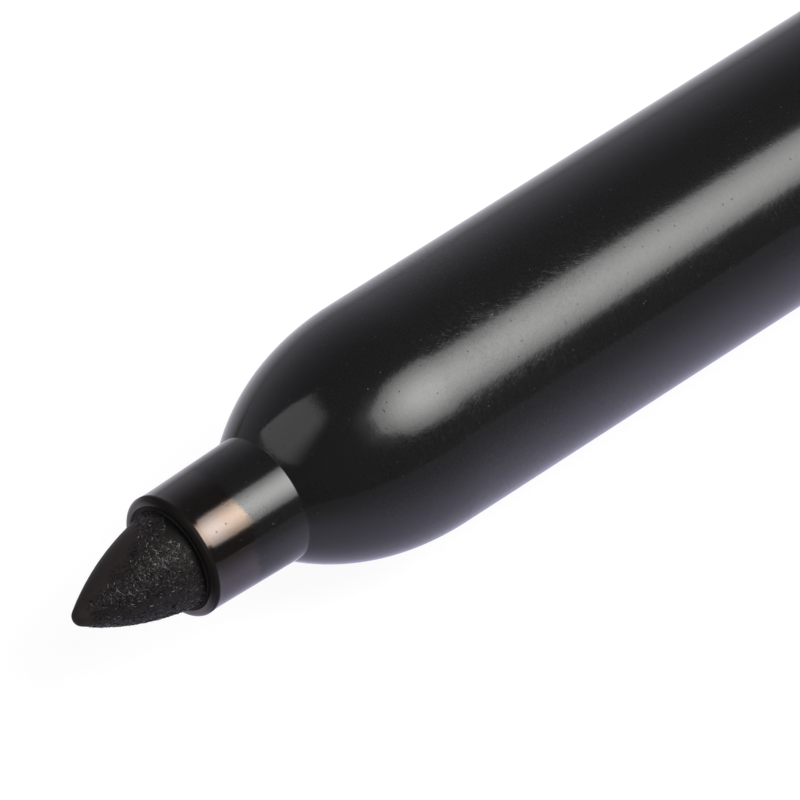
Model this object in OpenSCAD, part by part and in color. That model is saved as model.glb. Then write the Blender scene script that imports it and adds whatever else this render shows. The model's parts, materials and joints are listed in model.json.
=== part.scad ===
// Permanent marker with a bullet nib, its cap posted on the tail, and a pocket clip on the cap.
// Lengths are in millimetres. The marker lies along X with its nib towards -X, and +Z is up.
// The origin is on the axis, at the middle of the barrel's grip.

/* [Nib] */
// Diameter of the nib's stem
nib_d = 4.54; // [4.4:0.02:4.6]
// Length of the nib from its point to its back end
nib_len = 32; // [28:1:36]
// How far the point stands out of the collar
nib_reach = 5.26; // [4.5:0.02:6]
// Radius of the rounded point
nib_point_r = 0.43; // [0.3:0.01:0.7]
// Radius of the arc from the point to the stem
nib_arc_r = 12.4; // [10:0.1:16]

/* [Front section] */
// Diameter of the neck that the cap slides over
neck_d = 10.56; // [10.2:0.02:10.7]
// Length of the neck's straight part
neck_len = 29; // [24:1:34]
// Length of the rounded shoulder between the neck and the collar
shoulder_len = 7.44; // [6:0.02:9]
// Length of the collar that holds the nib
collar_len = 5; // [4:0.05:7]
// Diameter of the collar where it meets the shoulder
collar_root_d = 5.66; // [5.5:0.02:6]
// Diameter of the collar at its waist, behind the lip
collar_waist_d = 5.42; // [5.3:0.02:5.5]
// Diameter over the collar's rolled lip
collar_lip_d = 5.46; // [5.36:0.02:5.6]
// Thickness of the rolled lip
collar_lip_t = 0.42; // [0.38:0.02:0.46]
// Diameter of the bore that takes the nib
collar_bore_d = 4.68; // [4.66:0.02:4.72]
// Number of ribs in the bore that grip the nib
grip_ribs = 4; // [3:1:6]

/* [Barrel] */
// Outside diameter of the barrel's grip
barrel_d = 12; // [11.8:0.1:13]
// Length of the grip, from the cap's stop to the tail's step
barrel_len = 72; // [66:1:80]
// Thickness of the barrel's wall
barrel_wall = 1; // [0.9:0.05:1.05]
// Length of the tail that the cap is posted on
tail_len = 12; // [9:1:16]
// Number of ribs that hold the reservoir away from the wall
barrel_ribs = 6; // [4:1:8]

/* [Ink reservoir] */
// Diameter of the fibre rod
reservoir_d = 8; // [7.6:0.1:8]
// Length of the fibre rod
reservoir_len = 88; // [80:1:90]
// Thickness of the film wrapped round the rod
film_t = 0.12; // [0.1:0.01:0.14]

/* [Cap] */
// Outside diameter of the cap
cap_d = 12.6; // [12.4:0.1:12.8]
// Length of the cap
cap_len = 55; // [53:1:60]
// Thickness of the cap's closed end
crown_t = 2; // [1.6:0.1:3]
// Gap all round between the cap's bore and the tail
cap_play = 0.06; // [0.04:0.01:0.08]

/* [Clip] */
// Width of the clip
clip_w = 4.2; // [3.6:0.1:4.2]
// Distance from the axis to the clip's outer face
clip_reach = 9.2; // [9:0.1:9.2]
// Distance from the axis to the clip's inner face
clip_inner = 7.6; // [7.5:0.1:7.8]
// Length of the clip from its hinge to its free end
clip_len = 37; // [30:1:40]
// Angle of the clip from straight down, at which it rests on the table with the cap
clip_turn = 60; // [55:1:75]

/* [Hidden] */

// Faces of a turned piece, and the room a cutting shape has past what it cuts
turn_fn = 96;
past = 1;

// Places along the axis, from the nib's point to the cap's crown
stop_x = -barrel_len / 2;
step_x = barrel_len / 2;
shoulder_x = stop_x - neck_len;
crease_x = shoulder_x - shoulder_len;
mouth_x = crease_x - collar_len;
point_x = mouth_x - nib_reach;
tail_x = step_x + tail_len;
seat_gap = 0.1;
cap_mouth_x = step_x + seat_gap;
cap_crown_x = cap_mouth_x + cap_len;

// The shoulder is an arc that leaves the neck without an edge and ends on the collar
neck_r = neck_d / 2;
shoulder_drop = neck_r - collar_root_d / 2;
shoulder_r = (pow(shoulder_len, 2) + pow(shoulder_drop, 2)) / (2 * shoulder_drop);

// The nib's arc leaves the stem without an edge and runs into the round point the same way
nib_r = nib_d / 2;
nib_arc_drop = nib_arc_r - nib_r;
nib_point_x = point_x + nib_point_r;
nib_arc_x = nib_point_x + sqrt(pow(nib_arc_r - nib_point_r, 2) - pow(nib_arc_drop, 2));
nib_touch_x = nib_arc_x + (nib_point_x - nib_arc_x) * nib_arc_r / (nib_arc_r - nib_point_r);
nib_back_x = point_x + nib_len;
nib_back_chamfer = 0.6;

// Inside of the front section
waist_share = 0.835;
waist_len = waist_share * collar_len;
bore_r = collar_bore_d / 2;
grip_bite = 0.02;
grip_rib_w = 0.5;
grip_rib_end = 1;
cavity_back = 2.2;
cavity_x = shoulder_x + cavity_back;
cavity_r = 4.3;

// The spigot snaps into the barrel: a bead on it sits in a groove
barrel_bore_r = barrel_d / 2 - barrel_wall;
spigot_play = 0.03;
spigot_r = barrel_bore_r - spigot_play;
spigot_len = 9;
bead_back = 5;
bead_x = stop_x + bead_back;
bead_r = 0.25;
bead_sunk = 0.1;
groove_play = 0.05;

// Reservoir and the room that holds it
reservoir_r = reservoir_d / 2;
reservoir_gap = 2.8;
reservoir_x = cavity_x + reservoir_gap;
reservoir_end_x = reservoir_x + reservoir_len;
nib_hole_play = 0.03;
nib_hole_spare = 0.3;
film_play = 0.02;
film_r = reservoir_r + film_play + film_t;
rib_play = 0.06;
rib_w = 0.8;
rib_root = 0.3;
reservoir_play = 0.5;
rear_stop_x = reservoir_end_x + reservoir_play;

// Tail and its plug
tail_r = neck_r;
tail_bore_r = 3.8;
plug_len = 6;
plug_hollow_r = 2.8;
plug_head_inset = 0.1;
plug_head_r = tail_r - plug_head_inset;
plug_head_t = 1.2;
plug_round = 0.5;

// Roundings of the outer edges
grip_round = 0.5;
tail_round = 0.3;
cap_mouth_round = 0.35;
crown_round = 1.5;

// Inside of the cap
cap_r = cap_d / 2;
cap_bore_r = tail_r + cap_play;
cap_lead_in = 0.3;
liner_press = 0.02;
liner_r = cap_bore_r + liner_press;
liner_wall = 0.6;
liner_floor = 0.8;
liner_seal_r = 4.6;
liner_x = cap_mouth_x + neck_len + sqrt(pow(shoulder_r, 2) - pow(shoulder_r - (neck_r - liner_seal_r), 2));
liner_end_x = cap_crown_x - crown_t;

// Clip: a round root snapped into a round seat in a block on the cap
root_r = 0.94;
root_play = 0.06;
root_back = 4.2;
root_x = cap_crown_x - root_back;
root_z = 7.7;
root_neck_t = 1.1;
seat_mouth = 0.2;
arm_back = 0.6;
block_end = 1;
block_slope = 1.2;
block_sunk = 0.3;
block_foot_r = cap_bore_r + block_sunk;
pad_r = 1.3;
pad_gap = 0.2;
pad_back = 3;

plastic = [0.045, 0.045, 0.05];
felt = [0.02, 0.02, 0.022];
ink_fibre = [0.05, 0.05, 0.07];
clear_film = [0.8, 0.82, 0.84, 0.5];
soft_liner = [0.78, 0.78, 0.75];

// Turns an outline drawn as (place along the axis, distance from the axis) round the marker's axis
module turned() {
    rotate([0, 90, 0]) rotate_extrude($fn = turn_fn) mirror([1, -1]) children();
}

// Rectangle from one place along the axis to another, between two distances from the axis
module band(from, to, inner, outer) {
    translate([from, inner]) square([to - from, outer - inner]);
}

// Solid rod outline with a rounded outer corner at each end
module rounded_rod(from, to, radius, front_round, back_round) {
    band(from + front_round, to - back_round, 0, radius);
    band(from, to - back_round, 0, radius - front_round);
    band(from + front_round, to, 0, radius - back_round);
    if (front_round > 0)
        translate([from + front_round, radius - front_round]) circle(front_round, $fn = turn_fn);
    if (back_round > 0)
        translate([to - back_round, radius - back_round]) circle(back_round, $fn = turn_fn);
}

// Straight ribs standing inwards round a bore
module inner_ribs(count, from, to, inner, outer, width) {
    for (i = [0 : count - 1])
        rotate([360 / count * i, 0, 0]) translate([from, -width / 2, inner])
            cube([to - from, width, outer - inner]);
}

module nib() {
    color(felt) turned() {
        intersection() {
            translate([nib_point_x, 0]) circle(nib_point_r, $fn = turn_fn);
            band(point_x - past, nib_touch_x, 0, nib_r);
        }
        intersection() {
            union() {
                translate([nib_arc_x, -nib_arc_drop]) circle(nib_arc_r, $fn = turn_fn);
                band(nib_arc_x, nib_back_x, 0, nib_r);
            }
            polygon([[nib_touch_x, 0], [nib_touch_x, nib_r + past],
                     [nib_back_x - nib_back_chamfer - past, nib_r + past],
                     [nib_back_x, nib_r - nib_back_chamfer], [nib_back_x, 0]]);
        }
    }
}

module front_section() {
    lip_r = collar_lip_t / 2;
    lip_x = mouth_x + lip_r;
    color(plastic) {
        turned() {
            translate([lip_x, collar_lip_d / 2 - lip_r]) circle(lip_r, $fn = turn_fn);
            difference() {
                union() {
                    polygon([[lip_x, 0], [lip_x, collar_lip_d / 2],
                             [crease_x - waist_len, collar_waist_d / 2],
                             [crease_x, collar_root_d / 2], [crease_x, 0]]);
                    intersection() {
                        translate([shoulder_x, neck_r - shoulder_r]) circle(shoulder_r, $fn = turn_fn);
                        band(crease_x, shoulder_x, 0, neck_r + past);
                    }
                    band(shoulder_x, stop_x, 0, neck_r);
                    band(stop_x, stop_x + spigot_len, 0, spigot_r);
                    translate([bead_x, spigot_r - bead_sunk]) circle(bead_r, $fn = turn_fn);
                }
                band(mouth_x - past, cavity_x, 0, bore_r);
                band(cavity_x, stop_x + spigot_len + past, 0, cavity_r);
            }
        }
        inner_ribs(grip_ribs, crease_x + grip_rib_end, cavity_x - grip_rib_end,
                   nib_r - grip_bite, bore_r + grip_rib_w, grip_rib_w);
    }
}

module barrel() {
    color(plastic) {
        turned() difference() {
            union() {
                rounded_rod(stop_x, step_x, barrel_d / 2, grip_round, grip_round);
                band(step_x - past, tail_x - tail_round, 0, tail_r);
                polygon([[tail_x - tail_round, 0], [tail_x - tail_round, tail_r],
                         [tail_x, tail_r - tail_round], [tail_x, 0]]);
            }
            band(stop_x - past, rear_stop_x, 0, barrel_bore_r);
            band(rear_stop_x - past, tail_x + past, 0, tail_bore_r);
            translate([bead_x, spigot_r - bead_sunk]) circle(bead_r + groove_play, $fn = turn_fn);
        }
        inner_ribs(barrel_ribs, stop_x + spigot_len + past, rear_stop_x, film_r + rib_play,
                   barrel_bore_r + rib_root, rib_w);
    }
}

module ink_reservoir() {
    hole_end_x = nib_back_x + nib_hole_spare;
    color(ink_fibre) turned() {
        band(reservoir_x, hole_end_x, nib_r + nib_hole_play, reservoir_r);
        band(hole_end_x, reservoir_end_x, 0, reservoir_r);
    }
}

module reservoir_film() {
    color(clear_film) turned() band(reservoir_x, reservoir_end_x, reservoir_r + film_play, film_r);
}

module tail_plug() {
    color(plastic) turned() difference() {
        union() {
            band(tail_x - plug_len, tail_x, 0, tail_bore_r);
            rounded_rod(tail_x, tail_x + plug_head_t, plug_head_r, 0, plug_round);
        }
        band(tail_x - plug_len - past, tail_x - past, 0, plug_hollow_r);
    }
}

// Side view of a clip shape, drawn as (place along the axis, distance from the axis),
// made as wide as the clip
module clip_slab() {
    rotate([90, 0, 0]) linear_extrude(clip_w, center = true) children();
}

// Turns the clip's shapes from straight up to where the clip rests on the table
module at_clip() {
    rotate([180 - clip_turn, 0, 0]) children();
}

module cap_shell() {
    color(plastic) difference() {
        union() {
            turned() difference() {
                rounded_rod(cap_mouth_x, cap_crown_x, cap_r, cap_mouth_round, crown_round);
                band(cap_mouth_x - past, cap_crown_x - crown_t, 0, cap_bore_r);
                polygon([[cap_mouth_x - past, 0], [cap_mouth_x - past, cap_bore_r + cap_lead_in + past],
                         [cap_mouth_x + cap_lead_in, cap_bore_r], [cap_mouth_x + cap_lead_in, 0]]);
            }
            at_clip() intersection() {
                clip_slab() polygon([[root_x - seat_mouth, block_foot_r],
                                     [root_x - seat_mouth, clip_reach + past],
                                     [cap_crown_x - block_end - block_slope, clip_reach + past],
                                     [cap_crown_x - block_end - block_slope, clip_reach],
                                     [cap_crown_x - block_end, clip_reach - 2 * block_slope],
                                     [cap_crown_x - block_end, block_foot_r]]);
                turned() band(cap_mouth_x, cap_crown_x, 0, clip_reach);
            }
        }
        at_clip() translate([root_x, 0, root_z]) rotate([90, 0, 0])
            cylinder(clip_w + past, r = root_r + root_play, center = true, $fn = turn_fn);
    }
}

module cap_liner() {
    color(soft_liner) turned() difference() {
        band(liner_x, liner_end_x, 0, liner_r);
        band(liner_x - past, liner_end_x - liner_floor, 0, liner_r - liner_wall);
    }
}

module cap_clip() {
    tip_x = root_x - clip_len;
    color(plastic) at_clip() {
        intersection() {
            union() {
                clip_slab() band(tip_x, root_x - arm_back, clip_inner, clip_reach + past);
                clip_slab() translate([tip_x + pad_back, cap_r + pad_gap + pad_r])
                    circle(pad_r, $fn = turn_fn);
            }
            turned() band(cap_mouth_x, cap_crown_x, 0, clip_reach);
            union() {
                translate([tip_x + clip_w / 2, 0, 0])
                    cylinder(clip_reach + past, r = clip_w / 2, $fn = turn_fn);
                translate([tip_x + clip_w / 2, -clip_w / 2, 0]) cube([clip_len, clip_w, clip_reach + past]);
            }
        }
        clip_slab() {
            translate([root_x, root_z]) circle(root_r, $fn = turn_fn);
            band(root_x - 2 * arm_back, root_x, root_z - root_neck_t / 2, root_z + root_neck_t / 2);
        }
    }
}

nib();
front_section();
barrel();
ink_reservoir();
reservoir_film();
tail_plug();
cap_shell();
cap_liner();
cap_clip();
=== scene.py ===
import json
import math
import random

import bpy
from mathutils import Matrix, Vector, noise


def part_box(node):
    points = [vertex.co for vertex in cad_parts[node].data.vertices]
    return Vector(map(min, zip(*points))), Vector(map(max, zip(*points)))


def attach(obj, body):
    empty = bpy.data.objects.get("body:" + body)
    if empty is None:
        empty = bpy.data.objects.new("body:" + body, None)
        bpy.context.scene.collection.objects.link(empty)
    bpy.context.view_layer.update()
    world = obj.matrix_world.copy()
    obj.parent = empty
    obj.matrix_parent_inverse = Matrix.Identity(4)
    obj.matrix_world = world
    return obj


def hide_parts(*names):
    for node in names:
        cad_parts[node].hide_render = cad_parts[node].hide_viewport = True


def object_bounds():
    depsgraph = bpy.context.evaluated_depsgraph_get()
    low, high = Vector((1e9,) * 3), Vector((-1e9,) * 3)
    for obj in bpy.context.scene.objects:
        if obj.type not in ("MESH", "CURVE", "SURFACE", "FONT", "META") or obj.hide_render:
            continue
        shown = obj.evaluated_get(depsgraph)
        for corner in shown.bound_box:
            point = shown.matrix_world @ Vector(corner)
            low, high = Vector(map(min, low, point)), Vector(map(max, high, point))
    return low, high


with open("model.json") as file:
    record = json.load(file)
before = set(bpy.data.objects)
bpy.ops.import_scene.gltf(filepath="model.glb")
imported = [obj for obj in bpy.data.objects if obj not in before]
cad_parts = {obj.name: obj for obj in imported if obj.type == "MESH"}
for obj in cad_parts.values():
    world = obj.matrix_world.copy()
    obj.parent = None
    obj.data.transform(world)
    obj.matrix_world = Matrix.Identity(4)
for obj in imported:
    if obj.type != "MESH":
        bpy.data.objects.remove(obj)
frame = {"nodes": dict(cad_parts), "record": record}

cad_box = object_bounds()

# Barrel: the part that is held, a straight tube injection moulded in black polypropylene.
# Its front end is the stop for the cap, and a narrower tail behind takes the cap while the marker is in use.
MM = 0.001
TURN_STEPS = 256


def arc(centre, radius, start, end, steps):
    """Round stretch of an outline, as points (along the axis, out from it); angles in degrees."""
    points = []
    for i in range(steps + 1):
        angle = math.radians(start + (end - start) * i / steps)
        points.append((centre[0] + radius * math.cos(angle), centre[1] + radius * math.sin(angle)))
    return points


def mesh_object(name, vertices, faces, crease_degrees=28):
    """A smooth-shaded mesh object whose faces all look outwards, with its real edges kept sharp."""
    mesh = bpy.data.meshes.new(name)
    mesh.from_pydata(vertices, [], faces)
    mesh.update()
    mesh.shade_smooth()
    mesh.set_sharp_from_angle(angle=math.radians(crease_degrees))
    piece = bpy.data.objects.new(name, mesh)
    bpy.context.scene.collection.objects.link(piece)
    return piece


def turned(name, outline, closed=True, steps=TURN_STEPS):
    """A mesh object made by turning an outline round the marker's axis, which is X."""
    vertices, faces = [], []
    for along, radius in outline:
        for j in range(steps):
            angle = 2 * math.pi * j / steps
            vertices.append((along, radius * math.cos(angle), radius * math.sin(angle)))
    rows = len(outline)
    for i in range(rows if closed else rows - 1):
        here, after = i * steps, (i + 1) % rows * steps
        for j in range(steps):
            side = (j + 1) % steps
            faces.append((here + j, here + side, after + side, after + j))
    if not closed:
        faces.append(tuple(range(steps))[::-1])
        faces.append(tuple((rows - 1) * steps + j for j in range(steps)))
    return mesh_object(name, vertices, faces)


class Signal:
    """A shader socket that takes part in Python arithmetic: each operator adds a Math node to its tree."""

    def __init__(self, tree, socket):
        self.tree = tree
        self.socket = socket

    def other(self, output):
        """Another output of the same node."""
        return Signal(self.tree, self.socket.node.outputs[output])

    def math(self, operation, *values):
        """A Math node with any operation; the operators below go through it."""
        node = self.tree.nodes.new("ShaderNodeMath")
        node.operation = operation
        for slot, value in zip(node.inputs, values):
            put(self.tree, slot, value)
        return Signal(self.tree, node.outputs[0])

    def __add__(self, other):
        return self.math("ADD", self, other)

    def __radd__(self, other):
        return self.math("ADD", other, self)

    def __sub__(self, other):
        return self.math("SUBTRACT", self, other)

    def __rsub__(self, other):
        return self.math("SUBTRACT", other, self)

    def __mul__(self, other):
        return self.math("MULTIPLY", self, other)

    def __rmul__(self, other):
        return self.math("MULTIPLY", other, self)

    def __truediv__(self, other):
        return self.math("DIVIDE", self, other)

    def __pow__(self, other):
        return self.math("POWER", self, other)


def put(tree, slot, value):
    """Links a signal to a socket, or sets the socket's own value; a colour is given its full alpha."""
    if isinstance(value, Signal):
        tree.links.new(value.socket, slot)
    elif hasattr(slot.default_value, "__len__") and len(slot.default_value) == 4 and len(value) == 3:
        slot.default_value = (*value, 1.0)
    else:
        slot.default_value = value


class Finish:
    """The node tree of a material, lamp or world, which grows by one node a call."""

    def __init__(self, owner):
        owner.use_nodes = True
        self.owner = owner
        self.tree = owner.node_tree
        self.tree.nodes.clear()

    def node(self, kind, settings=None, sockets=None):
        """Adds a node, makes its settings, then fills its sockets; returns its first output."""
        node = self.tree.nodes.new(kind)
        for key, value in (settings or {}).items():
            setattr(node, key, value)
        for key, value in (sockets or {}).items():
            put(self.tree, node.inputs[key], value)
        return Signal(self.tree, node.outputs[0]) if node.outputs else None

    def parts(self, place):
        """A place's X, with its Y and Z as the other outputs."""
        return self.node("ShaderNodeSeparateXYZ", None, {0: place})

    def scaled(self, vector, by):
        """A place made larger, or a colour made brighter."""
        return self.node("ShaderNodeVectorMath", {"operation": "SCALE"}, {0: vector, "Scale": by})

    def blend(self, share, first, second):
        """A colour that goes from the first to the second as share goes from 0 to 1.

        The node's sockets for colours are its inputs 6 and 7 and its output 2.
        """
        return self.node("ShaderNodeMix", {"data_type": "RGBA"},
                         {"Factor": share, 6: first, 7: second}).other(2)

    def cover(self, share, under, over):
        """A shader that shows what lies over where share is 1, and what lies under where it is 0."""
        return self.node("ShaderNodeMixShader", None, {0: share, 1: under, 2: over})

    def bump(self, height):
        """The normal of a surface with fine relief; the height is in metres."""
        return self.node("ShaderNodeBump", None, {"Height": height, "Strength": 1.0, "Distance": 1.0})

    def step(self, value, low, high):
        """0 below low, 1 above high, and a smooth rise between."""
        return self.node("ShaderNodeMapRange", {"interpolation_type": "SMOOTHSTEP"},
                         {"Value": value, "From Min": low, "From Max": high})

    def noise(self, place, scale, detail=2.0, roughness=0.5):
        """Cloudy noise round 0.5, with its scale in cells per millimetre."""
        return self.node("ShaderNodeTexNoise", {"normalize": True},
                         {"Vector": place, "Scale": scale, "Detail": detail, "Roughness": roughness})

    def specks(self, place, scale, radius):
        """1 on scattered soft-edged specks of about that radius in millimetres, 0 between them."""
        solid_part = 0.4
        near = self.node("ShaderNodeTexVoronoi", {"feature": "F1"}, {"Vector": place, "Scale": scale})
        return 1 - self.step(near / scale, solid_part * radius, radius)

    def place_mm(self):
        """The point on the piece, in millimetres of the marker's frame."""
        return self.scaled(self.node("ShaderNodeTexCoord").other("Object"), 1 / MM)

    def round_place(self, place, along_scale, round_scale):
        """A place that runs along the axis and round it, so that marks can follow either."""
        parts = self.parts(place)
        turn = parts.math("ARCTAN2", parts.other("Z"), parts.other("Y"))
        return self.node("ShaderNodeCombineXYZ", None, {"X": parts.other("X") * along_scale,
                                                        "Y": turn.math("COSINE", turn) * round_scale,
                                                        "Z": turn.math("SINE", turn) * round_scale})

    def scratches(self, place, slant_degrees, length, width):
        """1 on fine straight scratches at an angle to the axis, 0 between them; sizes in millimetres."""
        skin_r_mm = 5.5
        apart = 20
        parts = self.parts(place)
        round_mm = parts.math("ARCTAN2", parts.other("Y"), parts.other("Z")) * skin_r_mm
        slant = math.radians(slant_degrees)
        run = parts * math.cos(slant) + round_mm * math.sin(slant)
        cross = round_mm * math.cos(slant) - parts * math.sin(slant)
        drawn_out = self.node("ShaderNodeCombineXYZ", None,
                              {"X": run / length, "Y": cross / width, "Z": slant * apart})
        return self.step(self.noise(drawn_out, 1.0, 1.0), 0.6, 0.72)


def finish_for(name):
    """The finish of a new material."""
    return Finish(bpy.data.materials.new(name))


def dress(piece, finish, shader):
    """Ends a finish with its shader and puts it on a piece in place of any other."""
    finish.node("ShaderNodeOutputMaterial", None, {"Surface": shader})
    piece.data.materials.clear()
    piece.data.materials.append(finish.owner)


def moulded_black(finish, place, rub=1.0):
    """Shader and bump of glossy black polypropylene; rub says how much handling has scuffed it.

    It has faint orange peel, a few pits, nicks and dust, and hair scratches. Depths are in millimetres.
    """
    plastic_black = (0.0105, 0.0105, 0.0110)
    dust_grey = (0.05, 0.048, 0.046)
    peel_deep = 0.0022
    grain_deep = 0.0011
    brushed_deep = 0.0005
    hair_deep = 0.0009
    pit_deep = 0.006
    nick_deep = 0.004
    peel = finish.noise(place, 0.8, 1.0) + finish.noise(place, 2.4, 2.0) * 0.9
    grain = finish.noise(place, 7.0, 3.0, 0.65)
    brushed = finish.noise(finish.round_place(place, 8.0, 10.0), 1.0, 3.0, 0.6)
    pits = finish.specks(place, 2.2, 0.045)
    stretched = finish.node("ShaderNodeVectorMath", {"operation": "MULTIPLY"},
                            {0: place, 1: (0.35, 1.3, 1.3)})
    nicks = finish.specks(stretched, 1.3, 0.04)
    shifted = finish.node("ShaderNodeVectorMath", {"operation": "ADD"}, {0: place, 1: (31.0, 17.0, 53.0)})
    dust = finish.specks(shifted, 1.2, 0.03)
    rubbed = finish.step(finish.noise(place, 0.3, 3.0), 0.35, 0.7)
    scuffs = finish.step(grain * 0.5 + brushed * 0.5, 0.42, 0.68) * (0.35 + 0.65 * rubbed)
    hairs = (finish.scratches(place, -28, 0.4, 0.04) + finish.scratches(place, 24, 0.5, 0.045)
             + finish.scratches(place, 75, 0.35, 0.04))
    height_mm = (peel * peel_deep + grain * grain_deep + brushed * brushed_deep
                 - hairs * hair_deep * (0.4 + 0.6 * rubbed) * rub - pits * pit_deep - nicks * nick_deep)
    bump = finish.bump(height_mm * MM)
    colour = finish.blend(dust, plastic_black, dust_grey)
    clear = finish.node("ShaderNodeBsdfPrincipled", None, {
        "Base Color": colour, "Roughness": 0.08 + grain * 0.03 + dust * 0.4, "IOR": 1.5, "Normal": bump})
    hazy = finish.node("ShaderNodeBsdfPrincipled", None, {
        "Base Color": colour, "Roughness": 0.3, "IOR": 1.5, "Normal": bump})
    return finish.cover(0.04 + scuffs * (0.26 * rub), clear, hazy), bump


def dress_in_black(piece, name):
    """Puts the moulded black all over a piece."""
    finish = finish_for(name)
    dress(piece, finish, moulded_black(finish, finish.place_mm())[0])


barrel_low, barrel_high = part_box("barrel")
front_low, front_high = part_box("front_section")
neck_r = front_high.z
barrel_r = barrel_high.z
# The frame's origin is halfway between the stop and the step down to the tail.
stop_x = barrel_low.x
step_x = -stop_x
tail_x = barrel_high.x
barrel_bore_r = 5.0 * MM
tail_bore_r = 3.8 * MM
wide_bore_length = 66 * MM
wide_bore_x = stop_x + wide_bore_length
barrel_edge = 0.5 * MM
tail_edge = 0.3 * MM
barrel_outline = (
    [(stop_x, barrel_bore_r)]
    + arc((stop_x + barrel_edge, barrel_r - barrel_edge), barrel_edge, 180, 90, 8)
    + arc((step_x - barrel_edge, barrel_r - barrel_edge), barrel_edge, 90, 0, 8)
    + [(step_x, neck_r)]
    + arc((tail_x - tail_edge, neck_r - tail_edge), tail_edge, 90, 0, 6)
    + [(tail_x, tail_bore_r), (wide_bore_x, tail_bore_r), (wide_bore_x, barrel_bore_r)]
)
barrel = turned("barrel_tube", barrel_outline)
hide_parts("barrel")
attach(barrel, "marker")
dress_in_black(barrel, "barrel black")

# Tail plug: the stopper with a domed edge that closes the barrel behind the ink.
# It is moulded in the same black plastic and pressed into the tail. The solid is shown as it is.
dress_in_black(frame["nodes"]["tail_plug"], "tail plug black")

# Ink reservoir: a rod of felted polyester fibre, soaked with black ink.
# It is pushed up the barrel between its ribs. The film round it is a thin clear wrap,
# which keeps the ink off the barrel's wall. Both solids are shown as they are.
soaked_fibre = (0.03, 0.03, 0.04)
reservoir_relief = 0.08 * MM
reservoir_finish = finish_for("ink soaked fibre")
reservoir_fibre = reservoir_finish.noise(reservoir_finish.place_mm(), 3.0, 4.0)
reservoir_shader = reservoir_finish.node("ShaderNodeBsdfPrincipled", None, {
    "Base Color": soaked_fibre, "Roughness": 0.6 + reservoir_fibre * 0.3,
    "Normal": reservoir_finish.bump(reservoir_fibre * reservoir_relief)})
dress(frame["nodes"]["ink_reservoir"], reservoir_finish, reservoir_shader)
film_clear = (0.8, 0.82, 0.84)
film_relief = 0.02 * MM
film_finish = finish_for("clear film")
film_wrinkle = film_finish.noise(film_finish.place_mm(), 0.6, 3.0)
film_shader = film_finish.node("ShaderNodeBsdfPrincipled", None, {
    "Base Color": film_clear, "Alpha": 0.5, "Roughness": 0.12 + film_wrinkle * 0.1,
    "Normal": film_finish.bump(film_wrinkle * film_relief)})
dress(frame["nodes"]["reservoir_film"], film_finish, film_shader)

# Front section: one black moulding with the neck, the rounded shoulder and the thin collar round the nib.
# Its back end is pushed into the barrel, and ribs in its bore, inside the shoulder, grip the nib.
# Ink has dried on the collar's front half as a thin bronze film, and as a skin that fills its mouth.
neck_length = 29 * MM
shoulder_length = 7.43 * MM
waist_length = 4.175 * MM
mouth_x = front_low.x
shoulder_x = stop_x - neck_length
crease_x = shoulder_x - shoulder_length
waist_x = crease_x - waist_length
collar_root_r = 2.835 * MM
collar_waist_r = 2.728 * MM
collar_bore_r = 2.34 * MM
bore_row_x = mouth_x + 3 * MM
lip_bead = 0.014 * MM
lip_flare = 0.37 * MM
lip_crest_x = mouth_x + 0.13 * MM
lip_crest_r = collar_waist_r + lip_bead
lip_r = 0.22 * MM
lip_front_x = lip_crest_x - lip_r
lip_inner_r = 0.1 * MM
lip_tuck = (0.05 * MM, 0.03 * MM)
ink_r = 2.12 * MM
ink_depth = 0.5 * MM
ink_back = 0.6 * MM
waist_ease = (0.1 * MM, 0.15 * MM)
waist_ease_r = 0.004 * MM
cavity_x = shoulder_x + 2.2 * MM
cavity_r = 4.3 * MM
spigot_r = 4.97 * MM
spigot_x = front_high.x
shoulder_drop = neck_r - collar_root_r
shoulder_r = ((shoulder_x - crease_x) ** 2 + shoulder_drop ** 2) / (2 * shoulder_drop)
shoulder_turn = math.degrees(math.asin((shoulder_x - crease_x) / shoulder_r))
shoulder_swell = 0.045 * MM
collar_slope = math.degrees(math.atan2(collar_root_r - collar_waist_r, crease_x - waist_x))
slope_sin = math.sin(math.radians(collar_slope))
slope_cos = math.cos(math.radians(collar_slope))
crease_r = 0.05 * MM
crease_back = crease_r * math.tan(math.radians((shoulder_turn - collar_slope) / 2))
crease_centre = (crease_x - crease_back * slope_cos - crease_r * slope_sin,
                 collar_root_r - crease_back * slope_sin + crease_r * slope_cos)
shoulder_start = math.degrees(crease_back / shoulder_r)
shoulder_arc = arc((shoulder_x, neck_r - shoulder_r), shoulder_r,
                   90 + shoulder_turn - shoulder_start, 90, 72)
front_turn_steps = 384


def swell_at(along):
    """How far the shoulder stands out from a plain arc, from 0 to 1, most at a third of the way up."""
    part = min(1.0, max(0.0, (along - crease_x) / (shoulder_x - crease_x)))
    return 27 / 4 * part * (1 - part) ** 2


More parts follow.
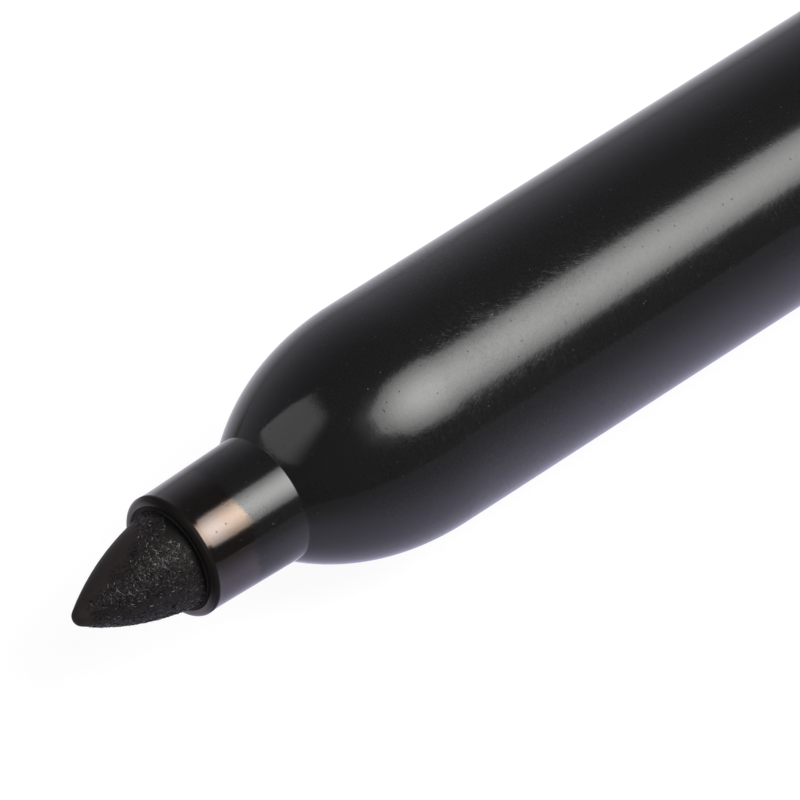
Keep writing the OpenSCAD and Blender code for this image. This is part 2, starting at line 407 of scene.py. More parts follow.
front_outline = (
    [(cavity_x, collar_bore_r), (bore_row_x, collar_bore_r), (mouth_x + ink_back, collar_bore_r)]
    + [(mouth_x + ink_depth, ink_r), (mouth_x, ink_r)]
    + [(lip_front_x + lip_tuck[0], collar_bore_r - lip_tuck[1])]
    + arc((lip_front_x + lip_inner_r, collar_bore_r + lip_inner_r), lip_inner_r, 225, 180, 4)
    + arc((lip_crest_x, lip_crest_r - lip_r), lip_r, 180, 90, 18)
    + [(lip_crest_x + lip_flare * part, collar_waist_r + lip_bead * (1 - part * part * (3 - 2 * part)))
       for part in (k / 10 for k in range(1, 11))]
    + [(waist_x - waist_ease[0], collar_waist_r), (waist_x + waist_ease[1], collar_waist_r + waist_ease_r)]
    + [(waist_x + (crease_x - waist_x) * part, collar_waist_r + (collar_root_r - collar_waist_r) * part)
       for part in (0.2, 0.4, 0.6, 0.8)]
    + arc(crease_centre, crease_r, collar_slope - 90, shoulder_turn - 90, 8)
    + [(along, radius + shoulder_swell * swell_at(along)) for along, radius in shoulder_arc]
    + [(shoulder_x + (stop_x - shoulder_x) * part, neck_r) for part in (0.02, 0.1, 0.3, 0.6)]
    + [(stop_x, neck_r), (stop_x, spigot_r), (spigot_x, spigot_r)]
    + [(spigot_x, cavity_r), (cavity_x, cavity_r)]
)
front_section = turned("collar_and_neck", front_outline, steps=front_turn_steps)
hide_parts("front_section")
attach(front_section, "marker")

# The cap has scuffed a band of the shoulder and neck; places are in millimetres along the axis.
front_finish = finish_for("front section black")
front_place = front_finish.place_mm()
front_parts = front_finish.parts(front_place)
front_y = front_parts.other("Y")
front_z = front_parts.other("Z")
scuff_rise = (-70.5, -63.5)
scuff_fall = (-62.0, -53.0)
capped_rub = (0.25 + 1.45 * front_finish.step(front_parts, *scuff_rise)
              - 1.15 * front_finish.step(front_parts, *scuff_fall))
front_shader, front_bump = moulded_black(front_finish, front_place, capped_rub)
from_mouth = front_parts - mouth_x / MM
from_axis = (front_y * front_y + front_z * front_z) ** 0.5

# The side that lies up and to the front, and the way down from it round the axis.
facing = Vector((0, -0.6153, 0.7883))
downhill = Vector((0, -0.7883, -0.6153))
faced = (front_y * facing.y + front_z * facing.z) / from_axis
ink_colour = (0.0072, 0.0064, 0.006)
gap_painted_light = (0.034, 0.031, 0.03)
bronze_tint = (1.0, 0.75, 0.59)
grey_tint = (1.0, 0.88, 0.87)
stain_reach = 2.42
blot_from_mouth = 0.85
stain_wander = (front_finish.noise(front_place, 1.1, 4.0) * 1.1
                + front_finish.noise(front_place, 6.0, 2.0) * 0.3 - 0.7)
stain = front_finish.step(stain_reach - from_mouth + stain_wander, -0.2, 0.25)
streaks = front_finish.noise(front_finish.round_place(front_place, 1.2, 3.5), 1.0, 3.0)
blots = front_finish.noise(front_place, 1.7, 3.0)


def ink_film(tint):
    """Ink dried to a thin glossy film, whose shine takes a tint."""
    return front_finish.node("ShaderNodeBsdfPrincipled", None, {
        "Base Color": ink_colour, "Roughness": 0.06 + streaks * 0.06, "IOR": 1.8,
        "Specular Tint": tint, "Normal": front_bump})


from_blots = from_mouth - blot_from_mouth
blot_band = from_blots.math("EXPONENT", from_blots * from_blots * -7.0)
blotched = front_finish.step(blot_band * 0.5 + blots, 0.45, 0.95)
wiped = front_finish.scratches(front_place, 35, 0.8, 0.07)
# Painted highlight colour: the dried film is a real stain all round, but it shines bronze only on the strip
# facing the camera and soft box, where its highlight lies, and grey at the sides.
bronze_on_highlight = front_finish.step(faced, 0.86, 0.97) * (1 - blotched * 0.55) * (1 - wiped * 0.5)
dried_ink = front_finish.cover(bronze_on_highlight, ink_film(grey_tint), ink_film(bronze_tint))
filmed = front_finish.cover(stain, front_shader, dried_ink)

# Crumbs of dry ink lie behind the film, and a matt crust of it covers the lip and the skin in the mouth.
crumb_zone = front_finish.step(from_mouth, 1.9, 2.5) * (1 - front_finish.step(from_mouth, 3.2, 4.2))
crumbs = front_finish.specks(front_place, 8.5, 0.027) * crumb_zone
dulled = front_finish.step(faced, -0.15, 0.75)
lip_back = front_finish.step(from_mouth, 0.0, 0.06)
lip_zone = 1 - front_finish.step(from_mouth + stain_wander * 0.06, 0.2, 0.28)
lip_crust = (dulled + (1 - dulled) * lip_back) * lip_zone
crust = lip_crust.math("MAXIMUM", lip_crust, 1 - front_finish.step(from_axis, 2.36, 2.42))
# Painted light: deep in the mouth the crust is given a lighter colour than ink, which lifts the shadow in the
# gap.
crust_and_gap_light = front_finish.blend(front_finish.step(from_axis, 2.3, 2.4), gap_painted_light, ink_colour)
caked_ink = front_finish.node("ShaderNodeBsdfPrincipled", None, {
    "Base Color": crust_and_gap_light, "Roughness": 0.4 + blots * 0.16, "Specular IOR Level": 0.06,
    "Normal": front_bump})
caked = crumbs.math("MAXIMUM", crumbs * 0.7, crust)
dress(front_section, front_finish, front_finish.cover(caked, filmed, caked_ink))

# Nib: a rod of bonded polyester fibre ground to a bullet point, pushed into the collar and soaked with ink.
# The ground face is a felt of short fibre ends, matted smooth on the side that has been written with.
nib_low, nib_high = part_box("nib")
point_x = nib_low.x
nib_back_x = nib_high.x
nib_r = 2.27 * MM
nib_chamfer = 0.6 * MM
point_r = 0.43 * MM
point_start = 179
nib_arc_r = 12.4 * MM
nib_arc_drop = nib_arc_r - nib_r
nib_arc_x = point_x + point_r + math.sqrt((nib_arc_r - point_r) ** 2 - nib_arc_drop ** 2)
point_turn = math.degrees(math.atan2(nib_arc_drop, nib_arc_x - point_x - point_r))
nib_turn_steps = 340
nib_outline = (
    arc((point_x + point_r, 0), point_r, point_start, 180 - point_turn, 16)
    + arc((nib_arc_x, -nib_arc_drop), nib_arc_r, 180 - point_turn, 90, 170)[1:]
    + [(nib_back_x - nib_chamfer, nib_r), (nib_back_x, nib_r - nib_chamfer)]
)
nib = turned("fibre_nib", nib_outline, closed=False, steps=nib_turn_steps)
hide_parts("nib")
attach(nib, "marker")
crooked_from_x = mouth_x + 11 * MM
crooked = 0.0038


def leaned(point):
    """The nib stands a little crooked in its bore, so that its point lies low and towards the front."""
    return point + downhill * max(0.0, crooked_from_x - point.x) * crooked


def nib_radius(along):
    """The nib's radius at a place along the axis."""
    if along < point_x + point_r * (1 - math.cos(math.radians(point_turn))):
        return math.sqrt(max(0.0, point_r ** 2 - (along - point_x - point_r) ** 2))
    return min(nib_r, math.sqrt(nib_arc_r ** 2 - (along - nib_arc_x) ** 2) - nib_arc_drop)


# Wear is laid out by millimetres out of the collar, and by degrees of roll from the facing side, downhill.
def wander(out, roll):
    """Degrees by which the edges of the worn stretches, and of the ring of painted shade and standing ink,
    wander.
    """
    most_degrees = 9
    cells_per_mm = 2.2
    cell_degrees = 14
    layer = 3.7
    return most_degrees * noise.noise(Vector((out * cells_per_mm, roll / cell_degrees, layer)))


def wet(out, roll):
    """How far the felt is darkened, from 0 to 1: in a ring at the collar, widest above, that is partly
    standing ink and partly painted shade of the lip's shadow.
    """
    ring_reach = 0.3
    ring_drop = 0.55
    ring_top = 8
    tongue_reach = 0.5
    tongue_roll = -24
    tongue_spread = 14
    soft_edge = 0.1
    wander_mm = 0.01
    reach = ring_reach - ring_drop * (1 - math.cos(math.radians(roll - ring_top)))
    reach += tongue_reach * math.exp(-((roll - tongue_roll) / tongue_spread) ** 2)
    reach += wander(out, roll) * wander_mm
    return min(1.0, max(0.0, (reach - out) / soft_edge + 0.5))


def worn(out, roll):
    """How smooth the felt is, from 0 to 1: on the written strip, one below it, the point, and the ring at the
    collar that is partly standing ink and partly painted shade.
    """
    strip_edge = -42
    strip_slant = 3.6
    strip_narrows = 85
    narrow_length = 0.75
    strip_soft_edge = 16
    back_edge = -150
    under_from = 1.2
    under_low, under_high = 36, 54
    under_wear = 0.5
    point_from = 4.7
    point_soft_edge = 0.3
    shift = wander(out, roll)
    written_edge = shift + strip_slant * out + strip_edge
    written_edge -= strip_narrows * math.exp(-max(out, 0) / narrow_length)
    written = (written_edge - roll) / strip_soft_edge + 0.5 if roll > back_edge else 0.0
    under = under_wear if out > under_from and under_low < roll + shift < under_high else 0.0
    point = (out - point_from) / point_soft_edge + 0.5
    return min(1.0, max(written, under, point, wet(out, roll)))


felt_depth = 0.034 * MM
felt_matting = 0.8
smooth_and_shaded = nib.data.attributes.new("worn", "FLOAT", "POINT")
shade_and_ink_share = nib.data.attributes.new("wet", "FLOAT", "POINT")
for vertex in nib.data.vertices:
    outward = Vector((0, vertex.co.y, vertex.co.z)).normalized()
    out = (mouth_x - vertex.co.x) / MM
    roll = math.degrees(math.atan2(outward.dot(downhill), outward.dot(facing)))
    coarse = noise.noise(vertex.co / MM * 6.0)
    fine = noise.noise(vertex.co / MM * 12.0)
    felt = coarse * 0.55 + fine * 0.45
    # Here rubbed also holds the ring at the collar, which is partly painted shade of the lip's shadow.
    rubbed = worn(out, roll)
    smooth_and_shaded.data[vertex.index].value = rubbed
    shade_and_ink_share.data[vertex.index].value = wet(out, roll)
    vertex.co = leaned(vertex.co + outward * felt * felt_depth * (1 - felt_matting * rubbed))

# The loose fibre ends are short three-sided strands, bent a little, that lie every way in the felt.
strand_count = 13500
strand_rings = 3
strand_corners = ((1, 1), (-1, 1), (0, -1))
strand_sides = len(strand_corners)
strand_lengths = (0.1, 0.28)
strand_widths = (0.014, 0.027)
strand_lifts = (-0.008, 0.022)
strand_bend = 0.16
strand_sag = 0.012 * MM
strand_taper = 0.5
strand_tilt = 0.2
strand_tumble = 1.05
strand_crowding = 0.7
strand_sharp_degrees = 45
strand_back_x = mouth_x + 0.3 * MM
slope_step = 0.05 * MM
chance = random.Random(41)
strand_vertices, strand_faces = [], []
while len(strand_vertices) < strand_count * strand_rings * strand_sides:
    along = point_x + (strand_back_x - point_x) * chance.random() ** strand_crowding
    roll = chance.uniform(-180, 180)
    if chance.random() * nib_r > nib_radius(along) or chance.random() < worn((mouth_x - along) / MM, roll):
        continue
    outward = facing * math.cos(math.radians(roll)) + downhill * math.sin(math.radians(roll))
    slope = (nib_radius(along + slope_step) - nib_radius(along - slope_step)) / (2 * slope_step)
    normal = (outward - Vector((slope, 0, 0))).normalized()
    root = Vector((along, 0, 0)) + outward * nib_radius(along)
    heading = Vector((1, 0, 0)).cross(normal).normalized()
    heading.rotate(Matrix.Rotation(chance.uniform(0, math.pi), 3, normal))
    heading.rotate(Matrix.Rotation(chance.gauss(0, strand_tilt), 3, normal.cross(heading)))
    tumble = Matrix.Rotation(chance.uniform(-strand_tumble, strand_tumble), 3, heading)
    flat_way = tumble @ normal.cross(heading)
    thin_way = heading.cross(flat_way)
    length = chance.uniform(*strand_lengths) * MM
    width = chance.uniform(*strand_widths) * MM
    bend = chance.uniform(-strand_bend, strand_bend) * length
    lift = chance.uniform(*strand_lifts) * MM
    first = len(strand_vertices)
    for k in range(strand_rings):
        part = k / (strand_rings - 1) * 2 - 1
        ring_centre = (root + heading * (part * length / 2) + flat_way * (bend * part * part)
                       + normal * (lift - strand_sag * part * part))
        taper = 1 - strand_taper * part * part
        for flat_side, thin_side in strand_corners:
            corner = (flat_way * (flat_side * width / 2) + thin_way * (thin_side * width / 4)) * taper
            strand_vertices.append(leaned(ring_centre + corner))
    for k in range(strand_rings - 1):
        ring = first + k * strand_sides
        after = ring + strand_sides
        for j in range(strand_sides):
            side = (j + 1) % strand_sides
            strand_faces.append((ring + j, after + j, after + side, ring + side))
    last = first + (strand_rings - 1) * strand_sides
    strand_faces.append(tuple(range(first, first + strand_sides)))
    strand_faces.append(tuple(range(last, last + strand_sides))[::-1])
strands = mesh_object("nib_strands", strand_vertices, strand_faces, strand_sharp_degrees)
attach(strands, "marker")

# The felt is dull black with a faint sheen, and browner where it is rubbed. Near the mouth its colour is
# painted lighter, as painted light lifting the collar's shadow. In the ring at the collar it is deep black,
# partly standing ink and partly painted shade of the lip's shadow.
dry_felt = (0.0117, 0.0104, 0.0102)
felt_painted_light = (0.02, 0.0186, 0.018)
rubbed_felt = (0.022, 0.0165, 0.0163)
inked_and_shaded_felt = (0.007, 0.0066, 0.0065)
fibre_sheen = (1.0, 0.93, 0.95)
felt_relief = 0.03 * MM
mouth_mm = mouth_x / MM
nib_finish = finish_for("ink soaked felt")
nib_place = nib_finish.place_mm()
matted = nib_finish.noise(nib_place, 12.0, 5.0, 0.7)
rubbed_and_shaded = nib_finish.node("ShaderNodeAttribute", {"attribute_name": "worn"}).other("Fac")
shade_and_ink_mask = nib_finish.node("ShaderNodeAttribute", {"attribute_name": "wet"}).other("Fac")
# Painted light: near the mouth the felt is given a lighter colour, which lifts the collar's shadow on it.
painted_light_near_mouth = nib_finish.step(nib_finish.parts(nib_place) + matted * 0.3, mouth_mm - 0.4, mouth_mm + 0.15)
nib_bump = nib_finish.bump(matted * felt_relief * (1 - rubbed_and_shaded * 0.7))
felt_shader = nib_finish.node("ShaderNodeBsdfPrincipled", None, {
    "Base Color": nib_finish.blend(painted_light_near_mouth, dry_felt, felt_painted_light), "Roughness": 0.32 + matted * 0.12,
    "Specular IOR Level": 0.22, "Sheen Weight": 0.2, "Sheen Roughness": 0.3, "Sheen Tint": fibre_sheen,
    "Normal": nib_bump})
rubbed_shader = nib_finish.node("ShaderNodeBsdfPrincipled", None, {
    "Base Color": nib_finish.blend(shade_and_ink_mask, rubbed_felt, inked_and_shaded_felt), "Roughness": 0.55 + matted * 0.1,
    "Specular IOR Level": 0.15, "Sheen Weight": 0.1, "Sheen Roughness": 0.2, "Normal": nib_bump})
dress(nib, nib_finish, nib_finish.cover(rubbed_and_shaded, felt_shader, rubbed_shader))
loose_strand = (0.0092, 0.008, 0.0077)
strand_painted_light = (0.021, 0.0186, 0.018)
strand_shine = (1.0, 0.93, 0.91)
strand_finish = finish_for("ink soaked strands")
strand_place = strand_finish.place_mm()
strand_tone = strand_finish.noise(strand_place, 5.0, 2.0)
# Painted light: strands near the collar are given a lighter colour, which lifts the collar's shadow on them.
near_collar = strand_finish.step(strand_finish.parts(strand_place), mouth_mm - 2.2, mouth_mm - 0.3)
strand_shader = strand_finish.node("ShaderNodeBsdfPrincipled", None, {
    "Base Color": strand_finish.blend(near_collar, loose_strand, strand_painted_light),
    "Roughness": 0.17 + strand_tone * 0.16, "Specular IOR Level": 0.5, "Specular Tint": strand_shine,
    "Sheen Weight": 0.28, "Sheen Roughness": 0.3, "Sheen Tint": fibre_sheen})
dress(strands, strand_finish, strand_shader)

# Cap: a black moulded tube with a closed, rounded crown, posted on the tail while the marker is used.
# A dimple at the middle of the crown is the mark of the gate where the plastic went into the mould.
cap_low, cap_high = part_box("cap_shell")
cap_mouth_x = cap_low.x
crown_x = cap_high.x
cap_r = cap_high.z
cap_bore_r = neck_r + 0.06 * MM
lead_in = 0.3 * MM
cap_mouth_round = 0.35 * MM
crown_round = 1.5 * MM
crown_t = 2 * MM
crown_middle_r = 0.4 * MM
dimple_r = 1.3 * MM
dimple_edge = 0.12 * MM
dimple_floor_r = dimple_r - 0.1 * MM
dimple_middle_r = 0.3 * MM
cap_outline = (
    [(crown_x - crown_t, crown_middle_r), (crown_x - crown_t, cap_bore_r),
     (cap_mouth_x + lead_in, cap_bore_r), (cap_mouth_x, cap_bore_r + lead_in)]
    + arc((cap_mouth_x + cap_mouth_round, cap_r - cap_mouth_round), cap_mouth_round, 180, 90, 8)
    + arc((crown_x - crown_round, cap_r - crown_round), crown_round, 90, 0, 18)
    + arc((crown_x - dimple_edge, dimple_r + dimple_edge), dimple_edge, 0, -90, 5)
    + [(crown_x - 2 * dimple_edge, dimple_floor_r), (crown_x - 2 * dimple_edge, dimple_middle_r)]
)
cap = turned("cap_tube", cap_outline, closed=False)
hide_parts("cap_shell")
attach(cap, "cap")
dress_in_black(cap, "cap black")

# Clip block: a block moulded on the cap's side at the crown, with a round seat for the clip's root.
# Its outer face is rounded about the marker's axis, and all its edges are eased.
clip_joint = [joint for joint in frame["record"]["behaviour"]["joints"] if joint["child"] == "clip"][0]
root_place = Vector(clip_joint["pos_m"])
clip_side = Vector(clip_joint["axis"]).normalized()
clip_out = Vector((0, root_place.y, root_place.z)).normalized()
root_x = root_place.x
root_out = root_place.dot(clip_out)
clip_half = 2.1 * MM
clip_reach = 9.2 * MM
ease = 0.22 * MM


def beside_cap(along, out, aside):
    """A point given along the axis, out from it where the clip is, and sideways across the clip."""
    return Vector((along, 0, 0)) + clip_out * out + clip_side * aside


def eased_slab(outline, half_width, rounding):
    """Vertices and faces of a side view made as wide as the clip, with its long edges rounded."""
    round_steps = 5
    flat_steps = 4
    count = len(outline)
    inwards = []
    for i in range(count):
        before, here, after = Vector(outline[i - 1]), Vector(outline[i]), Vector(outline[(i + 1) % count])
        first_way, second_way = (here - before).normalized(), (after - here).normalized()
        first_in, second_in = Vector((-first_way.y, first_way.x)), Vector((-second_way.y, second_way.x))
        inwards.append((first_in + second_in) / (1 + first_in.dot(second_in)))
    rows = []
    for k in range(round_steps + 1):
        turn = math.radians(90 / round_steps * k)
        rows.append((half_width - rounding * (1 - math.cos(turn)), rounding * (1 - math.sin(turn))))
    flats = [half_width * k / flat_steps for k in range(flat_steps - 1, -1, -1)]
    rows += [(aside, 0) for aside in flats if aside < rows[-1][0]]
    rows += [(-aside, inset) for aside, inset in rows[-2::-1]]
    vertices, faces = [], []
    for aside, inset in rows:
        crown = math.sqrt(clip_reach ** 2 - aside ** 2) - inset
        for point, inward in zip(outline, inwards):
            along, out = Vector(point) + inward * inset
            vertices.append(beside_cap(along, min(out, crown), aside))
    for i in range(len(rows) - 1):
        for j in range(count):
            side = (j + 1) % count
            faces.append((i * count + j, i * count + side, (i + 1) * count + side, (i + 1) * count + j))
    faces.append(tuple(range(count))[::-1])
    faces.append(tuple((len(rows) - 1) * count + j for j in range(count)))
    return vertices, faces


seat_r = 1.0 * MM
seat_cut = 0.2 * MM
seat_front_x = root_x - seat_cut
seat_open = math.degrees(math.acos(seat_cut / seat_r))
block_foot = cap_bore_r + 0.3 * MM
block_end_x = crown_x - 1 * MM
block_slope = 1.2 * MM
block_lean = 26.6
heel_r = 0.5 * MM
heel_drop = 0.25 * MM
brow_r = 0.6 * MM
brow_back = 0.55 * MM
seat_lip_r = 0.15 * MM
block_outline = (
    [(seat_front_x, block_foot), (block_end_x, block_foot)]
    + arc((block_end_x - heel_r, clip_reach - 2 * block_slope - heel_drop), heel_r, 0, block_lean, 4)
    + arc((block_end_x - block_slope - brow_back, clip_reach - brow_r), brow_r, block_lean, 90, 6)
    + arc((seat_front_x + seat_lip_r, clip_reach - seat_lip_r), seat_lip_r, 90, 180, 4)
    + arc((root_x, root_out), seat_r, 180 - seat_open, seat_open - 180, 40)
)
block = mesh_object("clip_block", *eased_slab(block_outline, clip_half, ease))
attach(block, "cap")
block.data.materials.append(cap.data.materials[0])

# Cap liner: a soft cup in natural plastic, which seals on the shoulder when the cap is on.
# It is moulded on its own and pressed into the cap. The solid is shown as it is.
liner_white = (0.6, 0.6, 0.57)
liner_finish = finish_for("liner natural plastic")
liner_cloud = liner_finish.noise(liner_finish.place_mm(), 1.5, 3.0)
liner_shader = liner_finish.node("ShaderNodeBsdfPrincipled", None, {
    "Base Color": liner_white, "Roughness": 0.4 + liner_cloud * 0.15})
dress(frame["nodes"]["cap_liner"], liner_finish, liner_shader)

# Clip: a springy arm moulded in the same black plastic, snapped into its block by its round root.
# Its free end is round, with a pad under it that presses on the pocket's cloth.
tip_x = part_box("cap_clip")[0].x
arm_end_x = root_x - 0.6 * MM
arm_inner = 7.6 * MM
arm_corner = 0.35 * MM
pad_x = tip_x + 3 * MM
pad_depth = 1.1 * MM
pad_reach = 1.6 * MM
pad_fullness = 1.25
root_r = 0.94 * MM
root_ease = 0.12 * MM
web_half = 0.55 * MM
web_x = root_x - 1.2 * MM
tip_steps = 20
pad_rows = 19
pad_row = 0.16 * MM
arm_steps = 14
plan = [(tip_x + clip_half * (1 - math.cos(turn)), clip_half * math.sin(turn))
        for turn in (math.radians(90 / tip_steps * k) for k in range(1, tip_steps))]
plan += [(tip_x + clip_half + pad_row * k, clip_half) for k in range(1, pad_rows + 1)]
pad_end_x = plan[-1][0]
plan += [(pad_end_x + (arm_end_x - arm_corner - pad_end_x) * k / arm_steps, clip_half)
         for k in range(1, arm_steps + 1)]
plan += arc((arm_end_x - arm_corner, clip_half - arm_corner), arm_corner, 75, 0, 5)
plan += [(arm_end_x, clip_half * part) for part in (0.6, 0.4, 0.2)]
plan = [(tip_x, 0.0)] + plan + [(arm_end_x, 0.0)] + [(along, -aside) for along, aside in plan[::-1]]
plan_count = len(plan)


def arm_underside(along):
    """Height of the arm's inner face above the axis: it swells into the pad near the tip."""
    off = min(1.0, abs(along - pad_x) / pad_reach)
    return arm_inner - pad_depth * (1 - off * off) ** pad_fullness


# Each row is the plan drawn in towards the arm's spine: out over the top, round the edge and back under.
edge_steps = 6
edge_turn = 90 / edge_steps
spine_parts = (0, 0.35, 0.7)
arm_rows = [(part, True, 0) for part in spine_parts]
arm_rows += [(1, True, math.radians(edge_turn * k)) for k in range(edge_steps + 1)]
arm_rows += [(1, False, math.radians(90 - edge_turn * k)) for k in range(edge_steps + 1)]
arm_rows += [(part, False, 0) for part in spine_parts[::-1]]
clip_vertices, clip_faces = [], []
for part, on_top, turn in arm_rows:
    for along, aside in plan:
        spine_x = min(max(along, tip_x + clip_half), arm_end_x - clip_half)
        inset = ease * (1 - math.sin(turn)) if part == 1 else ease
        sunk = ease * (1 - math.cos(turn))
        from_spine = Vector((along - spine_x, aside))
        drawn_in = max(from_spine.length - inset, 0) * part
        row_along, row_aside = Vector((spine_x, 0)) + from_spine.normalized() * drawn_in
        if on_top:
            out = math.sqrt(clip_reach ** 2 - row_aside ** 2) - sunk
        else:
            out = arm_underside(row_along) + sunk
        clip_vertices.append(beside_cap(row_along, out, row_aside))
for i in range(len(arm_rows) - 1):
    here, after = i * plan_count, (i + 1) * plan_count
    for j in range(plan_count):
        side = (j + 1) % plan_count
        clip_faces.append((here + j, after + j, after + side, here + side))
web_turn = math.degrees(math.asin(web_half / root_r))
root_outline = ([(web_x, root_out + web_half), (web_x, root_out - web_half)]
                + arc((root_x, root_out), root_r, web_turn - 180, 180 - web_turn, 36))
root_vertices, root_faces = eased_slab(root_outline, clip_half, root_ease)
clip_faces += [tuple(index + len(clip_vertices) for index in face) for face in root_faces]
clip_vertices += root_vertices
clip = mesh_object("pocket_clip", clip_vertices, clip_faces)
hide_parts("cap_clip")
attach(clip, "clip")
dress_in_black(clip, "clip black")

# View: the camera of the photograph, found from the marker's outline.
# It looks down on the nib through a long lens, and the crease behind the collar sits on a known pixel.
PICTURE = 800
view_azimuth = math.radians(-42.82)
view_elevation = math.radians(43.22)
focal_pixels = 9474
sensor_mm = 36
crease_pixel = (262.5, 499.4)
crease_distance = 385.6 * MM
to_camera = Vector((math.sin(view_azimuth) * math.cos(view_elevation),
                    -math.cos(view_azimuth) * math.cos(view_elevation), math.sin(view_elevation)))
camera_right = (-to_camera).cross(Vector((0, 0, 1))).normalized()
camera_up = camera_right.cross(-to_camera)
crease = Vector((crease_x, 0, 0))
pixel_size = crease_distance / focal_pixels
camera_place = (crease + to_camera * crease_distance
                - camera_right * ((crease_pixel[0] - PICTURE / 2) * pixel_size)
                + camera_up * ((crease_pixel[1] - PICTURE / 2) * pixel_size))
camera_data = bpy.data.cameras.new("view")
camera_data.sensor_width = sensor_mm
camera_data.lens = focal_pixels / PICTURE * sensor_mm
camera = bpy.data.objects.new("view", camera_data)
camera.matrix_world = Matrix((camera_right, camera_up, to_camera)).transposed().to_4x4()
camera.location = camera_place
bpy.context.scene.collection.objects.link(camera)
bpy.context.scene.camera = camera

# Table: a plain white sheet that the marker lies on. It shows white to the camera and keeps a faint shadow.
# In the marker's gloss it shows a painted pool of light that fades with distance, as a sheet under one lamp
# does, with painted shadow right under the marker and painted dimming ahead of the nib; distances in
# millimetres.
table_z = cad_box[0][2]
table_half = 2.0
paper_white = (1.0, 1.0, 1.0)
paper_matt = (0.9, 0.9, 0.9)
front_hue = (0.955, 0.92, 1.27)
back_hue = (0.98, 0.955, 1.07)
sheet_shown = 0.86
table = mesh_object("table", [(-table_half, -table_half, table_z), (table_half, -table_half, table_z),
                              (table_half, table_half, table_z), (-table_half, table_half, table_z)],
                    [(0, 1, 2, 3)])
table_finish = finish_for("white sheet")
table_parts = table_finish.parts(table_finish.place_mm())
table_off = table_parts.math("ABSOLUTE", table_parts.other("Y"))
close_glow = table_off.math("EXPONENT", table_off / -12.0)
wide_glow = table_off.math("EXPONENT", table_off / -110.0)
back_glow = table_off.math("EXPONENT", table_off / -45.0)
# Painted shadow: the mirrored sheet is darker right under the marker.
painted_shadow_under_marker = 0.62 + 0.38 * table_finish.step(table_off, 3.0, 12.0)
front_side = (0.04 + 0.12 * wide_glow + 1.35 * close_glow) * painted_shadow_under_marker
back_side = 0.36 + 0.8 * back_glow
behind = table_finish.step(table_parts.other("Y"), -2.0, 2.0)
ahead = 1 - 0.56 * table_finish.step(table_parts * -1, 62.0, 96.0)
painted_light_fade = (front_side + (back_side - front_side) * behind) * ahead
ray = table_finish.node("ShaderNodeLightPath")
seen = ray.other("Is Camera Ray")
mirrored = ray.other("Is Glossy Ray")
through = ray.other("Is Transmission Ray")
sheet_white = table_finish.node("ShaderNodeEmission", None, {"Color": paper_white, "Strength": 1.08})
sheet_hue = table_finish.blend(behind, front_hue, back_hue)
sheet_mirrored = table_finish.node("ShaderNodeEmission", None, {
    "Color": table_finish.scaled(sheet_hue, painted_light_fade), "Strength": 1.0})
sheet_glow = table_finish.cover(mirrored, sheet_white, sheet_mirrored)
sheet_matt = table_finish.node("ShaderNodeBsdfDiffuse", None, {"Color": paper_matt})
sheet_shader = table_finish.cover((seen + mirrored + through) * sheet_shown, sheet_matt, sheet_glow)
dress(table, table_finish, sheet_shader)

# Light: one large eight-sided soft box above the marker, on the camera's side and towards the tail,
# brightest in its middle, and a dim white card above the nib's end. Sizes and places are in metres.
across = Vector((0, to_camera.y, to_camera.z)).normalized()
camera_lean = math.degrees(math.atan2(-to_camera.x, math.hypot(to_camera.y, to_camera.z)))


def toward(lean_degrees, roll_degrees):
    """Direction off the axis on the camera's side, leaned towards +X and rolled about the axis."""
    square = Matrix.Rotation(math.radians(-roll_degrees), 3, "X") @ across
    lean = math.radians(lean_degrees)
    return (square * math.cos(lean) + Vector((1, 0, 0)) * math.sin(lean)).normalized()


def panel(name, centre, away_from, along, width, height, radiance):
    """A rectangular lamp that faces the other way from away_from, with its width along the next direction."""
    lamp = bpy.data.lights.new(name, "AREA")
    lamp.shape = "RECTANGLE"
    lamp.size = width
    lamp.size_y = height
    lamp.energy = radiance * math.pi * width * height
    lamp_object = bpy.data.objects.new(name, lamp)
    side = (along - away_from * along.dot(away_from)).normalized()
    lamp_object.matrix_world = Matrix((side, away_from.cross(side), away_from)).transposed().to_4x4()
    lamp_object.location = centre
    lamp_object.visible_camera = False
    bpy.context.scene.collection.objects.link(lamp_object)
    return lamp


def light_up(lamp_finish, colour):
    """Ends a lamp's finish with the colour that its face shows."""
    emission = lamp_finish.node("ShaderNodeEmission", None, {"Color": colour, "Strength": 1.0})
    lamp_finish.node("ShaderNodeOutputLight", None, {"Surface": emission})


soft_box_distance = 0.7
soft_box_half = (0.29, 0.325)
soft_box_lean = 11
soft_box_roll = 2.4
soft_box_radiance = 10.0
soft_box_white = (1.0, 0.996, 0.985)
# The lamp's panel is larger than the cloth of the soft box by this factor, for the light spilled round it.
rim = 1.6
soft_box_way = toward(camera_lean - soft_box_lean, soft_box_roll)
soft_box = panel("soft box", crease + soft_box_way * soft_box_distance, soft_box_way, Vector((1, 0, 0)),
                 2 * soft_box_half[0] * rim, 2 * soft_box_half[1] * rim, soft_box_radiance)
soft_box_finish = Finish(soft_box)
box_face = soft_box_finish.parts(soft_box_finish.node("ShaderNodeNewGeometry").other("Parametric"))
off_u = (box_face * 2 - 1) * rim
off_v = (box_face.other("Y") * 2 - 1) * rim
hot_u = off_u * (1 - 0.26 * soft_box_finish.step(off_u, -0.1, 0.1))
hot = off_u.math("EXPONENT", (hot_u * hot_u + off_v * off_v) * -1.4)
far_u = off_u.math("ABSOLUTE", off_u)
far_v = off_v.math("ABSOLUTE", off_v)
far_corner = (far_u + far_v) * math.sqrt(0.5)
box_reach = off_u.math("MAXIMUM", off_u.math("MAXIMUM", far_u, far_v), far_corner)
cloth = 1 - soft_box_finish.step(box_reach, 0.97, 1.03)
spill = 1 - soft_box_finish.step(box_reach, 0.98, 1.25)
skirt = soft_box_finish.step(off_u * -1, 0.5, 1.0) * (1 - soft_box_finish.step(box_reach, 1.2, 1.55)) * 0.03
box_level = hot * (0.36 * spill + cloth * 0.64) + skirt
light_up(soft_box_finish, soft_box_finish.scaled(soft_box_white, box_level))
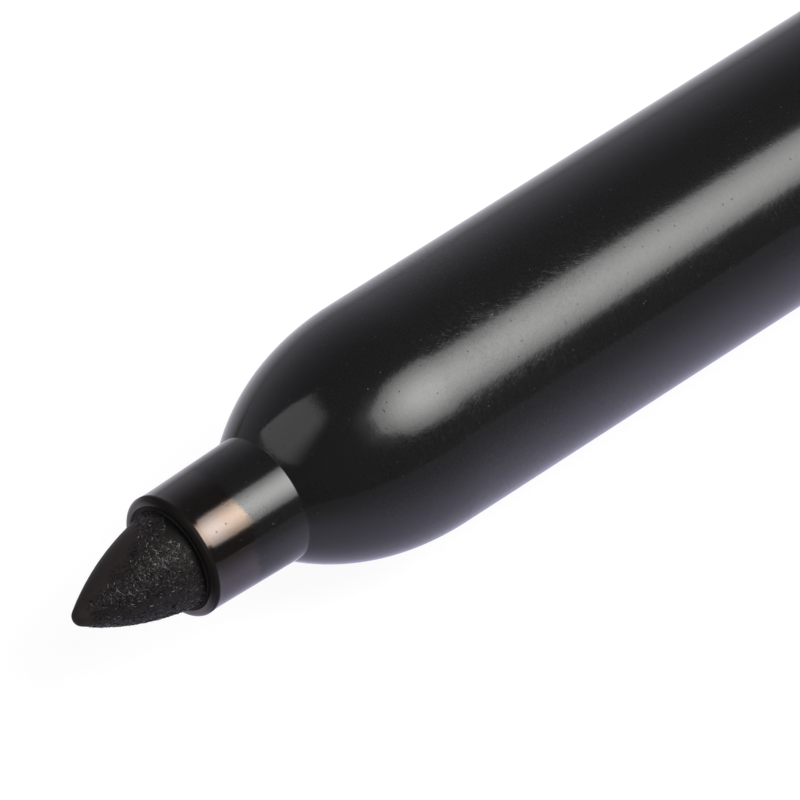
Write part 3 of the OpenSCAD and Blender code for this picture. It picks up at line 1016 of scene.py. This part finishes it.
card_place = crease + Vector((-0.1551, 0.0848, 0.4247))
card_away = Vector((-0.969, 0.239, 0.052)).normalized()
card_along = Vector((0.09, 0.305, -0.047))
card_width = 0.407
card_height = 0.444
card_radiance = 1.18
card_fade = 0.42
card = panel("white card", card_place, card_away, card_along, card_width, card_height, card_radiance)
card_finish = Finish(card)
card_face = card_finish.parts(card_finish.node("ShaderNodeNewGeometry").other("Parametric"))
light_up(card_finish, card_finish.step(card_face.other("Y"), 0.0, card_fade)
         * card_finish.step(card_face, 0.0, card_fade))

# Studio: the dark room round the table, with paler walls behind the marker and off its two ends.
# They show in the gloss. The camera itself sees a plain white backdrop.
wall_tint = (0.98, 0.955, 1.07)
backdrop = (1.0, 1.0, 1.0)
room_level = 0.03
back_wall_level = 0.42
tail_wall_level = 0.6
nib_wall_level = 0.8
world = bpy.data.worlds.new("dark studio")
bpy.context.scene.world = world
room = Finish(world)
looking = room.parts(room.node("ShaderNodeTexCoord").other("Generated"))
looking_up = looking.other("Z")
back_wall = room.step(looking.other("Y"), 0.15, 0.75) * (1 - room.step(looking_up, 0.0, 1.0))
wall_fade = 1 - 0.7 * room.step(looking_up, 0.1, 0.9)
end_walls = (room.step(looking, 0.56, 0.78) * tail_wall_level
             + room.step(looking * -1, 0.7, 0.9) * nib_wall_level) * wall_fade
room_tint = room.scaled(wall_tint, room_level + back_wall * back_wall_level)
room_colour = room.node("ShaderNodeVectorMath", {"operation": "ADD"}, {0: room_tint, 1: end_walls})
room_glow = room.node("ShaderNodeBackground", None, {"Color": room_colour, "Strength": 1.0})
backdrop_white = room.node("ShaderNodeBackground", None, {"Color": backdrop, "Strength": 1.0})
room_ray = room.node("ShaderNodeLightPath")
room_seen = room_ray.other("Is Camera Ray") + room_ray.other("Is Transmission Ray")
room.node("ShaderNodeOutputWorld", None, {"Surface": room.cover(room_seen, room_glow, backdrop_white)})

# Colours show as they are written.
bpy.context.scene.view_settings.view_transform = "Standard"
